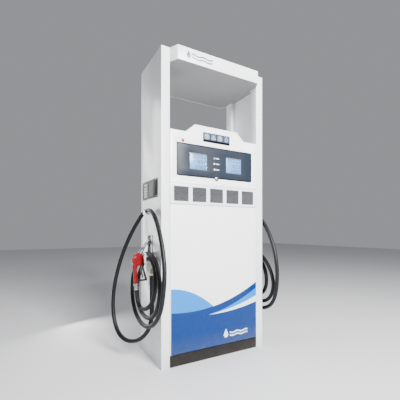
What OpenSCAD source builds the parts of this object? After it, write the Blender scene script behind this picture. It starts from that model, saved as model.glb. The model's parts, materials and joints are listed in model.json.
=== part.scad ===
// Two-sided fuel dispenser: two columns carry a canopy, a display head and a
// pump compartment, with a hose and nozzle on each side wall.
// Millimetres, +Z up, origin at the middle of the footprint, front towards -Y.

/* [Cabinet] */
// Overall width across the two columns
body_w = 885; // [800:5:1100]
// Depth of the columns, front to back
body_d = 425; // [360:5:520]
// Overall height
body_h = 2200; // [1900:10:2700]
// Thickness of the sheet-metal panels
sheet = 3; // [2:0.5:4]
// Gap between neighbouring panels
seam = 2; // [1:0.5:4]

/* [Columns] */
// Width of the front and rear stiles
stile_w = 62; // [50:1:80]
// Depth of each stile
stile_d = 73; // [60:1:85]
// Thickness of the web between the stiles
web_t = 29; // [24:1:36]

/* [Canopy] */
// Height of the canopy
canopy_h = 96; // [70:2:140]
// How far the canopy stands out past the columns
canopy_reach = 60; // [20:2:90]
// Width lost at each end by the canted corner
canopy_taper = 34; // [10:2:80]

/* [Head] */
// Height of the head's shoulders above the display door
shoulder_rise = 83; // [60:1:120]
// Rise of the middle crest above the shoulders
crest_rise = 62; // [20:2:100]
// Half width of the crest's flat top
crest_half = 185; // [120:5:220]
// Half width of the crest where it meets the shoulders
crest_base_half = 252; // [230:2:300]

/* [Display] */
// Width of the display door
display_w = 656; // [560:4:700]
// Height of the display door
display_h = 231; // [190:1:280]
// Height of the display door above the fascia's bottom edge
display_sill = 54; // [40:1:80]
// Thickness of the display door
display_t = 20; // [16:1:24]
// How far the display door stands proud of the fascia
display_proud = 4; // [2:0.5:6]
// Width of one readout
readout_w = 143; // [100:1:170]
// Height of one readout
readout_h = 119; // [80:1:140]
// Distance of each readout from the middle
readout_x = 155; // [110:1:180]
// How far the readouts sit below the middle of the door
readout_drop = 2.5; // [0:0.5:20]
// Diameter of the cam lock's face
lock_d = 24; // [18:1:30]

/* [Vents] */
// Height of the vent strip
vent_h = 144; // [120:2:160]
// Number of vent cells
vent_count = 5; // [3:1:6]
// Width of one vent cell
vent_cell_w = 115; // [60:1:120]
// Height of one vent cell
vent_cell_h = 105; // [60:1:115]
// Spacing of the vent cells
vent_pitch = 146; // [125:1:150]

/* [Lower doors] */
// Height of the kick plates
plinth_h = 80; // [70:2:110]
// Top edge of the lower doors above the floor
door_top = 1128; // [1060:2:1140]
// Thickness of the lower doors
door_t = 22; // [18:1:28]
// Diameter of the door hinge pins
door_pin_d = 10; // [6:1:12]

/* [Base] */
// Spacing of the anchor holes across the width
anchor_x = 710; // [560:5:720]
// Spacing of the anchor holes front to back
anchor_y = 240; // [160:5:260]
// Diameter of the anchor holes
anchor_d = 14; // [10:1:18]
// Height of the base frame
base_h = 60; // [50:2:64]

/* [Keypad] */
// Length of the keypad bezel, front to back
keypad_l = 312; // [240:4:340]
// Height of the keypad bezel
keypad_h = 135; // [110:1:150]
// Middle of the bezel, from the centre of the wall
keypad_y = 15; // [-10:1:30]
// Height of the bezel's middle above the floor
keypad_z = 1247; // [1230:1:1260]
// Width of one key
key_w = 70; // [50:1:90]
// Height of one key
key_h = 15; // [10:1:17]
// Spacing of the key rows
key_pitch = 20; // [18:1:24]
// Travel of a key
key_travel = 2; // [1:0.5:3]

/* [Holster] */
// Distance of the nozzle's plane from the middle of the wall
nozzle_y = 22; // [-10:1:40]
// Width of the holster's flange
holster_w = 138; // [110:2:150]
// Width of the pocket that takes the spout
pocket_w = 56; // [44:2:70]
// Depth of the pocket behind the wall
pocket_depth = 70; // [50:2:90]

/* [Nozzle] */
// Diameter of the spout
spout_d = 22; // [18:1:25]
// Diameter of the grip
grip_d = 30; // [26:1:34]
// Length of the grip
grip_l = 136; // [120:2:150]
// Thickness of the valve body
valve_body_t = 34; // [32:1:46]

/* [Hose] */
// Outside diameter of the hose
hose_d = 30; // [26:1:31]
// Height of the outlet fitting's axis above the floor
outlet_z = 672; // [665:1:690]
// Diameter of the hose hooks' arms
hook_d = 14; // [10:1:16]

/* [Hydraulics] */
// Height of the pump and motor shafts above the floor
shaft_z = 170; // [165:1:220]
// Distance of each shaft from the middle of the cabinet
shaft_x = 150; // [145:1:165]
// Radius of the pump pulley
pump_pulley_r = 95; // [70:1:100]
// Radius of the motor pulley
motor_pulley_r = 45; // [35:1:60]
// Outside diameter of the suction pipe
suction_d = 48.3; // [33.7:0.1:60.3]
// Outside diameter of the delivery pipes
pipe_d = 28; // [22:1:32]

/* [Hidden] */
$fn = 48;

eps = 0.5;            // overrun of a cut past a face
run_gap = 0.05;       // radial running clearance of a pin in its bore
face_gap = 0.4;       // clearance between faces of different bodies

half_w = body_w / 2;
half_d = body_d / 2;
bay = half_w - stile_w;         // half width between the stiles
web_x = half_w - web_t;         // half width between the webs
web_half = half_d - stile_d;    // half depth of the web

vent_z = door_top + seam + 1;   // bottom of the vent strip
fascia_z = vent_z + vent_h + seam;
tray_edge = half_d - sheet;

hinge_r = door_t / 2;
hinge_x = bay - seam - hinge_r;
hinge_y = half_d - hinge_r;
door_z = plinth_h + sheet;
pin_reach = 22;                 // engagement of a hinge pin in its door

display_z = fascia_z + display_sill;
shoulder_z = display_z + display_h + shoulder_rise;
display_face = half_d + display_proud;
display_r = 12;
display_gap = 1.5;
display_axis_y = display_face - display_t / 2;
display_axis_z = display_z + display_h - display_t / 2;
display_pin_r = 3;
ear_r = 17;                     // ear that carries the cam lock
rim_t = 4;
readout_z = display_z + display_h / 2 - readout_drop;
frame_depth = 32;               // depth of the fascia's pocket behind the display door
lamp_x = 280;
lamp_z = display_z + display_h + 18;
strip_w = 236;
strip_h = 70;
strip_z = display_z + display_h + 32 + strip_h / 2;

key_y = keypad_y + 68.5;        // middle of the key column
key_rows = 5;
screen_y = keypad_y - keypad_l / 2 + 8;
bezel_proud = 5;
bezel_depth = 18;
key_cap = 2.5;                  // how far a key stands out of the bezel
key_root = 8;                   // how far a key reaches into its pocket

pocket_z = 785;
pocket_h = 120;
pocket_wall = 2;
flange_z = 762;
flange_h = 152;
lever_pivot = [-16, 800];
lever_pin_r = 2.5;

// Nozzle, as distance from the wall and height
grip_foot = [103, 560];
grip_lean = 4.76;
spout_root = [72, 775.9];
spout_bend = 150;
spout_straight = 60;
spout_tip = 18;
trigger_pivot = [74, 700];
trigger_pin_r = 3;
swivel_l = 44;

outlet_y = -115;
elbow_r = 18;
fitting_end = 632;              // height where the hose leaves its fitting

lower_hook = [-45, 711];
upper_hook = [-33, 1057];

// Hose route from the outlet fitting to the nozzle: distance from the wall, depth, height
hose_route = [
  [32, -115, 632], [32, -115, 560], [32, -115, 470], [32, -115, 380], [37, -110, 305],
  [54, -92, 240], [86, -50, 182], [125, 10, 148], [165, 78, 144], [194, 150, 174],
  [210, 212, 242], [216, 244, 340], [213, 248, 450], [202, 230, 560], [184, 200, 670],
  [158, 168, 780], [126, 134, 880], [90, 90, 976], [56, 30, 1058], [34, -33, 1089],
  [30, -110, 1075], [30, -190, 1015], [30, -262, 920], [30, -318, 800], [32, -345, 680],
  [38, -345, 560], [46, -320, 440], [58, -262, 350], [68, -180, 298], [77, -90, 280],
  [84, 5, 295], [87, 95, 340], [85, 165, 415], [78, 205, 510], [66, 212, 600],
  [48, 188, 680], [34, 130, 738], [28, 40, 770], [27, -45, 775], [28, -130, 757],
  [31, -210, 705], [37, -272, 620], [44, -295, 525], [51, -272, 435], [59, -212, 372],
  [66, -130, 343], [71, -45, 346], [74, 32, 380], [73, 85, 450], [65, 108, 540],
  [50, 102, 630], [34, 68, 697], [28, 15, 732], [27, -45, 742], [28, -115, 727],
  [33, -180, 670], [41, -212, 590], [50, -208, 505], [61, -170, 440], [74, -110, 402],
  [84, -55, 392], [90, -12, 405], [93, 14, 435], [95.5, 22, 470], [99.1, 22, 513.4]];
hose_sides = 10;

screw_r = 4;

// ---------- helpers ----------

module front_and_rear() {
  children();
  rotate([0, 0, 180]) children();
}

module both_sides() {
  children();
  mirror([1, 0, 0]) children();
}

module side(name) {
  mirror([name == "left" ? 1 : 0, 0, 0]) translate([half_w, 0, 0]) children();
}

// Extrudes an X-Z outline along Y, from y to y + depth
module upright(y, depth) {
  translate([0, y + depth, 0]) rotate([90, 0, 0]) linear_extrude(depth) children();
}

module block(low, high) {
  translate(low) cube(high - low);
}

module round_rect(w, h, r) {
  square([w - 2 * r, h], center = true);
  square([w, h - 2 * r], center = true);
  for (x = [-1, 1], y = [-1, 1]) translate([x * (w / 2 - r), y * (h / 2 - r)]) circle(r);
}

// Straight round bar between two points
module bar(p, q, r) {
  d = q - p;
  translate(p) rotate([0, acos(d[2] / norm(d)), atan2(d[1], d[0])]) cylinder(r = r, h = norm(d));
}

// Cross-shaped plan that fills the bay between the two columns
module bay_plan(edge) {
  square([2 * bay, 2 * edge], center = true);
  square([2 * web_x, 2 * web_half], center = true);
}

// ---------- structure ----------

module base_frame() {
  flange_w = 50;
  flange_t = 5;
  rail_w = 50;
  color("dimgray") difference() {
    union() {
      linear_extrude(flange_t) difference() {
        bay_plan(tray_edge);
        square([2 * (bay - flange_w), 2 * (web_half - flange_w + 8)], center = true);
      }
      linear_extrude(base_h) difference() {
        bay_plan(tray_edge);
        square([2 * (bay - flange_t), 2 * (tray_edge - flange_t)], center = true);
        square([2 * (web_x - flange_t), 2 * (web_half - flange_t)], center = true);
      }
      for (x = [-1, 1], at = [80, 230]) {
        block([x * at - rail_w / 2, -tray_edge + 1, 20], [x * at + rail_w / 2, tray_edge - 1, base_h]);
      }
      front_and_rear() {
        block([-bay, -tray_edge, base_h - 1], [-bay + 32, -tray_edge + 2 * hinge_r + 6, plinth_h]);
      }
    }
    for (x = [-1, 1], y = [-1, 1]) {
      translate([x * anchor_x / 2, y * anchor_y / 2, -eps]) cylinder(d = anchor_d, h = flange_t + 2 * eps);
    }
    front_and_rear() {
      translate([-hinge_x, -hinge_y, base_h + 2]) cylinder(d = door_pin_d, h = plinth_h);
    }
  }
}

module column() {
  color("gainsboro") difference() {
    union() {
      linear_extrude(body_h - sheet) difference() {
        column_plan();
        for (y = [-1, 1]) {
          translate([stile_w / 2, y * (half_d - stile_d / 2)]) {
            square([stile_w - 2 * sheet, stile_d - 2 * sheet], center = true);
          }
        }
        translate([web_t / 2, 0]) square([web_t - 2 * sheet, 2 * web_half], center = true);
      }
      translate([0, 0, body_h - sheet]) linear_extrude(sheet) column_plan();
    }
    keypad_cut();
    translate([-eps, nozzle_y - pocket_w / 2 - pocket_wall, pocket_z - pocket_wall]) {
      cube([web_t + 2 * eps, pocket_w + 2 * pocket_wall, pocket_h + 2 * pocket_wall]);
    }
    translate([-eps, outlet_y, outlet_z]) rotate([0, 90, 0]) cylinder(d = pipe_d + 4, h = web_t + 2 * eps);
  }
}

// Plan of one column: x runs inwards from the outer wall
module column_plan() {
  difference() {
    translate([0, -half_d]) square([stile_w, body_d]);
    translate([web_t, -web_half]) square([stile_w, 2 * web_half]);
  }
}

module keypad_cut() {
  translate([-eps, keypad_y - keypad_body_l() / 2, keypad_z - keypad_body_h() / 2]) {
    cube([sheet + 2 * eps, keypad_body_l(), keypad_body_h()]);
  }
}

function keypad_body_l() = 2 * (web_half - abs(keypad_y) - 6);
function keypad_body_h() = keypad_h - 20;

module left_column() translate([-half_w, 0, 0]) column();

module right_column() mirror([1, 0, 0]) left_column();

// ---------- canopy ----------

module canopy_outline(inset) {
  nose = half_d + canopy_reach - inset;
  bay_plan(half_d);
  polygon([
    [-bay + canopy_taper + inset, -nose], [bay - canopy_taper - inset, -nose],
    [bay - inset, -half_d], [bay - inset, half_d],
    [bay - canopy_taper - inset, nose], [-bay + canopy_taper + inset, nose],
    [-bay + inset, half_d], [-bay + inset, -half_d]]);
}

module canopy_inside() {
  intersection() {
    canopy_outline(sheet);
    union() {
      square([2 * (bay - sheet), 4 * half_d], center = true);
      square([2 * (web_x - sheet), 2 * (web_half - sheet)], center = true);
    }
  }
}

module canopy() {
  color("whitesmoke") translate([0, 0, body_h - canopy_h]) {
    linear_extrude(canopy_h - sheet) difference() {
      canopy_outline(0);
      canopy_inside();
    }
    translate([0, 0, canopy_h - sheet]) linear_extrude(sheet) canopy_outline(0);
  }
}

module canopy_soffit() {
  color("darkgray") translate([0, 0, body_h - canopy_h + 1]) linear_extrude(sheet) canopy_inside();
}

// ---------- head ----------

module head_outline(inset) {
  top = shoulder_z - inset;
  crest = top + crest_rise;
  polygon([
    [-bay + seam, fascia_z], [bay - seam, fascia_z], [bay - seam, top], [crest_base_half, top],
    [crest_half, crest], [-crest_half, crest], [-crest_base_half, top], [-bay + seam, top]]);
}

module display_outline(grow) {
  translate([0, display_z + display_h / 2]) {
    round_rect(display_w + 2 * grow, display_h + 2 * grow, display_r + grow);
  }
  translate([0, display_z]) circle(ear_r + grow);
}

// Opening for the display door, square at the top where the hinge barrel turns
module display_opening(grow) {
  display_outline(grow);
  translate([-display_w / 2 - grow, display_axis_z - display_t / 2]) {
    square([display_w + 2 * grow, display_t + grow]);
  }
}

module front_fascia_shell() {
  gap = display_gap;
  upright(-half_d, sheet) difference() {
    head_outline(0);
    display_opening(gap);
  }
  // pocket frame round the display door, open below for the lock's tongue
  difference() {
    upright(-half_d + 1, frame_depth) difference() {
      display_opening(gap + sheet);
      display_opening(gap);
    }
    block([-70, -half_d + sheet, display_z - 60], [70, -half_d + 60, display_z + 20]);
  }
  // bosses that hold the display door's hinge pins
  for (x = [-1, 1]) {
    at = display_w / 2 + gap + sheet;
    difference() {
      translate([x * (at + 4), -half_d + sheet + 8, display_axis_z]) cube([12, 18, 20], center = true);
      display_pin(x);
    }
  }
}

module display_pin(x) {
  from = display_w / 2 - pin_reach;
  translate([x > 0 ? from : -from - pin_reach - 12, -display_axis_y, display_axis_z]) {
    rotate([0, 90, 0]) cylinder(r = display_pin_r, h = pin_reach + 12);
  }
}

module fascia() {
  color("white") difference() {
    front_fascia_shell();
    for (x = [-1, 1]) display_pin(x);
  }
}

module front_fascia() fascia();

module rear_fascia() rotate([0, 0, 180]) fascia();

module head_cover() {
  color("white") intersection() {
    upright(-tray_edge, 2 * tray_edge) difference() {
      union() {
        head_outline(0);
        for (x = [-1, 1]) translate([x * (bay + web_x) / 2, shoulder_z - 10]) {
          square([web_x - bay + 2 * seam + 2, 20], center = true);
        }
      }
      translate([0, -sheet]) head_outline(0);
      translate([-half_w, 0]) square([body_w, shoulder_z - sheet]);
    }
    linear_extrude(body_h) bay_plan(tray_edge);
  }
}

module divider_trays() {
  color("silver") {
    difference() {
      translate([0, 0, vent_z]) linear_extrude(sheet) bay_plan(tray_edge);
      front_and_rear() {
        translate([-hinge_x, -hinge_y, vent_z - eps]) cylinder(d = door_pin_d, h = sheet + 2 * eps);
      }
    }
    translate([0, 0, fascia_z - seam - sheet]) linear_extrude(sheet) bay_plan(tray_edge);
  }
}

module vent_frames() {
  color("gainsboro") front_and_rear() {
    upright(-half_d, sheet) difference() {
      translate([-bay + seam, vent_z]) square([2 * (bay - seam), vent_h]);
      vent_cells(0);
    }
  }
}

module vent_cells(grow) {
  for (i = [0:vent_count - 1]) {
    translate([(i - (vent_count - 1) / 2) * vent_pitch, vent_z + vent_h / 2]) {
      square([vent_cell_w + 2 * grow, vent_cell_h + 2 * grow], center = true);
    }
  }
}

module vent_meshes() {
  color("gray") front_and_rear() upright(-tray_edge, 1) vent_cells(6);
}

module pictogram_plates() {
  color("black") front_and_rear() {
    upright(-half_d - 2, 2) translate([0, strip_z]) round_rect(strip_w, strip_h, 4);
  }
}

module indicator_lamps() {
  color("darkred") front_and_rear() {
    translate([-lamp_x, -half_d, lamp_z]) rotate([90, 0, 0]) {
      cylinder(r = 12, h = 3);
      translate([0, 0, 3]) intersection() {
        translate([0, 0, -8]) sphere(r = 12.5);
        cylinder(r = 12, h = 8);
      }
    }
  }
}

module hinge_pins() {
  color("silver") front_and_rear() {
    translate([-hinge_x, -hinge_y, base_h + 2]) cylinder(d = door_pin_d, h = door_z + pin_reach - base_h - 2);
    translate([-hinge_x, -hinge_y, door_top - pin_reach]) {
      cylinder(d = door_pin_d, h = vent_z + sheet - door_top + pin_reach);
    }
    for (x = [-1, 1]) display_pin(x);
  }
}

module kick_plates() {
  color("black") front_and_rear() {
    block([-bay + 1, -half_d, 0], [bay - 1, -tray_edge, plinth_h]);
  }
}

// ---------- display door ----------

module display_door() {
  back = -display_face + display_t;
  color("slategray") difference() {
    intersection() {
      upright(-display_face, display_t) display_outline(0);
      union() {
        block([-half_w, -display_face, 0], [half_w, back, display_axis_z]);
        translate([-half_w, -display_axis_y, display_axis_z]) {
          rotate([0, 90, 0]) cylinder(r = display_t / 2, h = body_w);
        }
      }
    }
    // hollow behind the face, between the hinge edge and the lock's ear
    block([-display_w / 2 + 26, -display_face + rim_t, display_z + 24],
      [display_w / 2 - 26, back + eps, display_axis_z - display_t / 2 - 2]);
    for (x = [-1, 1]) {
      translate([x * readout_x, -display_face + rim_t / 2, readout_z]) {
        cube([readout_w, rim_t + 2 * eps, readout_h], center = true);
      }
      from = display_w / 2 - pin_reach - 1;
      translate([x > 0 ? from : -from - 60, -display_axis_y, display_axis_z]) {
        rotate([0, 90, 0]) cylinder(r = display_pin_r + run_gap, h = 60);
      }
    }
    translate([0, -display_face - eps, display_z]) rotate([-90, 0, 0]) {
      cylinder(r = lock_d / 2 - 3 + run_gap, h = display_t + 2 * eps);
    }
  }
}

module front_display_door() display_door();

module rear_display_door() rotate([0, 0, 180]) display_door();

module display_boards() {
  top = readout_z + readout_h / 2 + 14;
  low = readout_z - readout_h / 2 - 14;
  back = -half_d + 1 + frame_depth;
  color("darkgreen") front_and_rear() {
    block([-display_w / 2 - display_gap - sheet, back, low], [display_w / 2 + display_gap + sheet, back + 2, top]);
    for (x = [-1, 1]) {
      block([x * readout_x - readout_w / 2 - 6, -display_face + display_t + 2, low + 6],
        [x * readout_x + readout_w / 2 + 6, back, top - 6]);
    }
  }
}

module lock() {
  tongue = 34;
  color("lightgray") translate([0, -display_face, display_z]) rotate([-90, 0, 0]) {
    translate([0, 0, -3]) cylinder(d = lock_d, h = 3 - face_gap);
    translate([0, 0, -1]) cylinder(r = lock_d / 2 - 3, h = display_t + 6);
    // tongue, pointing up while unlocked
    translate([-7, -tongue, display_t + 2]) cube([14, tongue, 3]);
  }
}

module front_lock() lock();

module rear_lock() rotate([0, 0, 180]) lock();

// ---------- lower doors ----------

module door_plan() {
  translate([-hinge_x, -half_d]) square([hinge_x + bay - seam, door_t]);
  translate([-hinge_x, -hinge_y]) circle(hinge_r);
}

module lower_door() {
  color("whitesmoke") difference() {
    translate([0, 0, door_z]) linear_extrude(door_top - door_z) door_plan();
    block([-hinge_x + hinge_r + 6, -half_d + sheet, door_z + sheet],
      [bay - seam - sheet, -half_d + door_t + eps, (door_z + door_top) / 2 - 20]);
    block([-hinge_x + hinge_r + 6, -half_d + sheet, (door_z + door_top) / 2 + 20],
      [bay - seam - sheet, -half_d + door_t + eps, door_top - sheet]);
    block([-hinge_x + hinge_r + 6, -half_d + sheet, door_z + sheet],
      [bay - seam - sheet, -half_d + door_t - sheet, door_top - sheet]);
    translate([-hinge_x, -hinge_y, door_z - eps]) cylinder(r = door_pin_d / 2 + run_gap, h = pin_reach + 2);
    translate([-hinge_x, -hinge_y, door_top - pin_reach - 1]) {
      cylinder(r = door_pin_d / 2 + run_gap, h = pin_reach + 2);
    }
  }
}

module front_door() lower_door();

module rear_door() rotate([0, 0, 180]) lower_door();

// ---------- hydraulics ----------

pulley_y = -150;
pulley_w = 20;
pump_front = -105;
pump_shaft_r = 12;
motor_shaft_r = 10;
motor_r = 80;
suction_y = 30;
riser_y = 60;
meter_x = 260;
manifold_z = 430;
meter_z = 450;
meter_h = 150;
valve_h = 50;

module pump_unit() {
  color("steelblue") difference() {
    union() {
      block([-shaft_x - 95, -90, base_h], [-shaft_x + 95, 100, shaft_z + 100]);
      for (x = [-45, 45]) translate([-shaft_x + x, -10, shaft_z + 99]) cylinder(r = 40, h = 61);
      translate([-shaft_x, pump_front, shaft_z]) rotate([-90, 0, 0]) cylinder(r = 36, h = 30);
    }
    translate([-shaft_x, pump_front - eps, shaft_z]) rotate([-90, 0, 0]) {
      cylinder(r = pump_shaft_r + run_gap, h = 50);
    }
  }
}

module pulley(r, shaft_r) {
  groove = 8;
  rotate([-90, 0, 0]) rotate_extrude($fn = 96) polygon([
    [0, 0], [r, 0], [r, 3], [r - groove, 7], [r - groove, pulley_w - 7], [r, pulley_w - 3],
    [r, pulley_w], [shaft_r + 10, pulley_w], [shaft_r + 10, pulley_w + 20], [shaft_r, pulley_w + 20],
    [shaft_r, pulley_w + 70], [0, pulley_w + 70]]);
}

module pump_pulley() {
  color("darkslategray") translate([-shaft_x, pulley_y, shaft_z]) pulley(pump_pulley_r, pump_shaft_r);
}

module motor_pulley() {
  color("darkslategray") translate([shaft_x, pulley_y, shaft_z]) pulley(motor_pulley_r, motor_shaft_r);
}

module motor() {
  color("royalblue") difference() {
    union() {
      translate([shaft_x, -95, shaft_z]) rotate([-90, 0, 0]) cylinder(r = motor_r, h = 225);
      translate([shaft_x, pump_front, shaft_z]) rotate([-90, 0, 0]) cylinder(r = 30, h = 30);
      block([shaft_x - 70, -60, base_h], [shaft_x + 70, 90, shaft_z - 50]);
      block([shaft_x - 40, -20, shaft_z + 60], [shaft_x + 40, 60, shaft_z + motor_r + 40]);
    }
    translate([shaft_x, pump_front - eps, shaft_z]) rotate([-90, 0, 0]) {
      cylinder(r = motor_shaft_r + run_gap, h = 50);
    }
  }
}

module belt_loop(grow) {
  hull() {
    translate([-shaft_x, shaft_z]) circle(pump_pulley_r + grow, $fn = 96);
    translate([shaft_x, shaft_z]) circle(motor_pulley_r + grow, $fn = 96);
  }
}

module drive_belt() {
  color("black") upright(pulley_y + 7 + face_gap, pulley_w - 14 - 2 * face_gap) difference() {
    belt_loop(0);
    belt_loop(-6);
  }
}

module inlet_pipe() {
  color("silver") translate([-shaft_x, suction_y, 0]) difference() {
    union() {
      cylinder(d = suction_d, h = base_h);
      translate([0, 0, base_h - 10]) cylinder(r = 42, h = 10);
    }
    translate([0, 0, -eps]) cylinder(r = suction_d / 2 - 3.7, h = base_h + 2 * eps);
  }
}

module delivery_pipes() {
  r = pipe_d / 2;
  top = meter_z + meter_h + valve_h;
  corner = [meter_x, outlet_y, outlet_z];
  color("goldenrod") {
    bar([-shaft_x, riser_y, shaft_z + 100], [-shaft_x, riser_y, manifold_z], r);
    bar([-meter_x, riser_y, manifold_z], [meter_x, riser_y, manifold_z], r);
    both_sides() {
      translate([meter_x, riser_y, manifold_z]) sphere(r = r);
      bar([meter_x, riser_y, manifold_z], [meter_x, riser_y, meter_z], r);
      bar([meter_x, riser_y, top], [meter_x, riser_y, outlet_z], r);
      translate([meter_x, riser_y, outlet_z]) sphere(r = r);
      bar([meter_x, riser_y, outlet_z], corner, r);
      translate(corner) sphere(r = r);
      bar(corner, [web_x - 8, outlet_y, outlet_z], r);
    }
  }
}

module flow_meters() {
  color("silver") both_sides() translate([meter_x, riser_y, meter_z]) {
    cylinder(r = 58, h = meter_h);
    for (turn = [0, 90]) rotate([0, 0, turn]) translate([-85, 0, 60]) rotate([0, 90, 0]) cylinder(r = 34, h = 170);
  }
}

module solenoid_valves() {
  color("dimgray") both_sides() translate([meter_x, riser_y, meter_z + meter_h]) {
    cylinder(r = 24, h = valve_h);
    translate([20, -20, 5]) cube([50, 40, 40]);
  }
}

module controller_box() {
  color("silver") block([-150, -70, fascia_z - seam], [150, 70, fascia_z + 190]);
}

// ---------- side walls ----------

function key_z(i) = keypad_z - 38 + (key_rows - i) * key_pitch - (i > 1 ? 5 : 0);

module keypad_side() {
  difference() {
    union() {
      translate([0, keypad_y, keypad_z]) rotate([90, 0, 90]) linear_extrude(bezel_proud) {
        round_rect(keypad_l, keypad_h, 8);
      }
      translate([-bezel_depth, keypad_y - keypad_body_l() / 2 + 1, keypad_z - keypad_body_h() / 2 + 1]) {
        cube([bezel_depth + 1, keypad_body_l() - 2, keypad_body_h() - 2]);
      }
    }
    for (i = [1:key_rows]) {
      translate([bezel_proud / 2 - key_root / 2 - key_travel, key_y, key_z(i)]) {
        cube([bezel_proud + key_root + 2 * key_travel + 1, key_w + 2 * face_gap, key_h + 2 * face_gap],
          center = true);
      }
    }
    // shallow recess of the small screen
    translate([bezel_proud - 1, screen_y, keypad_z - keypad_h / 2 + 10]) {
      cube([2, key_y - key_w / 2 - 10 - screen_y, keypad_h - 20]);
    }
  }
}

module keypad_bezels() {
  color("black") for (name = ["left", "right"]) side(name) keypad_side();
}

module key(name, i) {
  color("lightgray") side(name) {
    translate([bezel_proud + key_cap - key_root - key_cap, key_y - key_w / 2, key_z(i) - key_h / 2]) {
      cube([key_root + key_cap, key_w, key_h]);
    }
  }
}

module holster_side() {
  difference() {
    union() {
      block([0, nozzle_y - holster_w / 2, flange_z], [sheet, nozzle_y + holster_w / 2, flange_z + flange_h]);
      block([-pocket_depth, nozzle_y - pocket_w / 2 - pocket_wall + 0.2, pocket_z - pocket_wall + 0.2],
        [1, nozzle_y + pocket_w / 2 + pocket_wall - 0.2, pocket_z + pocket_h + pocket_wall - 0.2]);
    }
    block([-pocket_depth + pocket_wall, nozzle_y - pocket_w / 2, pocket_z],
      [sheet + eps, nozzle_y + pocket_w / 2, pocket_z + pocket_h]);
    translate([lever_pivot[0], nozzle_y - pocket_w, lever_pivot[1]]) rotate([-90, 0, 0]) {
      cylinder(r = lever_pin_r + run_gap, h = 2 * pocket_w);
    }
  }
}

module holsters() {
  color("silver") for (name = ["left", "right"]) side(name) holster_side();
}

module boot_lever(name) {
  color("dimgray") side(name) {
    translate([lever_pivot[0], nozzle_y - pocket_w / 2 - pocket_wall + 0.2, lever_pivot[1]]) rotate([-90, 0, 0]) {
      cylinder(r = lever_pin_r, h = pocket_w + 2 * pocket_wall - 0.4);
    }
    upright(nozzle_y - 4, 8) translate(lever_pivot) {
      circle(6);
      polygon([[-5, 3], [5, -3], [27, 38], [22, 50], [16, 46]]);
    }
  }
}

// Follows the spout: collar, straight, bend and tip
module spout_shape(r, extra) {
  lean = 30;
  turn = 28;
  lap = 0.5;
  bend_start = spout_root + spout_straight * [-sin(lean), cos(lean)];
  centre = bend_start - spout_bend * [cos(lean), sin(lean)];
  bend_end = centre + spout_bend * [cos(lean + turn), sin(lean + turn)];
  at = spout_root - extra * [-sin(lean), cos(lean)];
  translate([at[0], nozzle_y, at[1]]) rotate([0, -lean, 0]) {
    cylinder(r = r, h = spout_straight + extra + lap);
  }
  translate([centre[0], nozzle_y, centre[1]]) rotate([90, 0, 0]) rotate([0, 0, lean]) {
    rotate_extrude(angle = turn) translate([spout_bend, 0]) circle(r);
  }
  translate([bend_end[0], nozzle_y, bend_end[1]]) rotate([0, -lean - turn, 0]) translate([0, 0, -lap]) {
    cylinder(r = r, h = spout_tip + extra + lap);
  }
}

module spout(name) {
  color("silver") side(name) difference() {
    union() {
      spout_shape(spout_d / 2, 0);
      translate([spout_root[0], nozzle_y, spout_root[1]]) rotate([0, -30, 0]) cylinder(r = spout_d / 2 + 4, h = 10);
    }
    spout_shape(spout_d / 2 - 2.5, eps);
  }
}

module along_grip() {
  translate([grip_foot[0], nozzle_y, grip_foot[1]]) rotate([0, grip_lean, 0]) children();
}

module nozzle(name) {
  color("firebrick") side(name) {
    difference() {
      union() {
        upright(nozzle_y - valve_body_t / 2, valve_body_t) polygon([
          [62, 688], [126, 688], [134, 712], [134, 744], [104, 783], [92, 787.4], [48, 762], [48, 714]]);
        along_grip() cylinder(d = grip_d, h = grip_l);
      }
      upright(nozzle_y - 6.5, 13) polygon([[56, 680], [95, 680], [92, 716], [56, 716]]);
      translate([trigger_pivot[0], nozzle_y - valve_body_t, trigger_pivot[1]]) rotate([-90, 0, 0]) {
        cylinder(r = trigger_pin_r + run_gap, h = 2 * valve_body_t);
      }
    }
    along_grip() translate([0, 0, -12]) cylinder(r = 9, h = 13);
    // hand guard
    upright(nozzle_y - 6, 12) polygon([
      [52, 700], [20, 586], [22, 574], [98, 574], [98, 586], [34, 586], [64, 694], [64, 704], [54, 704]]);
  }
}

module trigger(name) {
  color("black") side(name) {
    translate([trigger_pivot[0], nozzle_y - valve_body_t / 2, trigger_pivot[1]]) rotate([-90, 0, 0]) {
      cylinder(r = trigger_pin_r, h = valve_body_t);
    }
    upright(nozzle_y - 5, 10) {
      translate(trigger_pivot) circle(8);
      polygon([[68, 698], [80, 698], [57, 598], [48, 598]]);
    }
  }
}

module swivel(name) {
  color("silver") side(name) along_grip() difference() {
    union() {
      translate([0, 0, -face_gap - 14]) cylinder(r = 17, h = 14);
      translate([0, 0, -swivel_l]) cylinder(r = 14, h = swivel_l - 10);
      translate([0, 0, -swivel_l - 2]) cylinder(r = 18, h = 20);
    }
    translate([0, 0, -13]) cylinder(r = 9 + run_gap, h = 14);
  }
}

module outlet_side() {
  r = pipe_d / 2;
  translate([0, outlet_y, outlet_z]) rotate([0, 90, 0]) {
    translate([0, 0, -web_t - 8]) cylinder(r = r, h = web_t + 9 + 14);
    cylinder(r = 27, h = 7);
    translate([0, 0, -web_t - 8]) cylinder(r = 24, h = 8);
  }
  translate([32 - elbow_r, outlet_y, outlet_z - elbow_r]) rotate([90, 0, 0]) {
    rotate_extrude(angle = 90) translate([elbow_r, 0]) circle(15);
  }
  translate([32, outlet_y, fitting_end]) cylinder(r = 18, h = outlet_z - elbow_r - fitting_end);
}

module outlet_fittings() {
  color("darkkhaki") for (name = ["left", "right"]) side(name) outlet_side();
}

module hook(at, reach, lip) {
  block([0, at[0] - 22, at[1] - 30], [sheet, at[0] + 22, at[1] + 34]);
  translate([1, at[0], at[1] + 7]) rotate([0, 90, 0]) cylinder(d = hook_d, h = reach - 1);
  translate([reach, at[0], at[1] + 7 - hook_d / 2]) cylinder(d = hook_d, h = lip);
}

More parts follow.
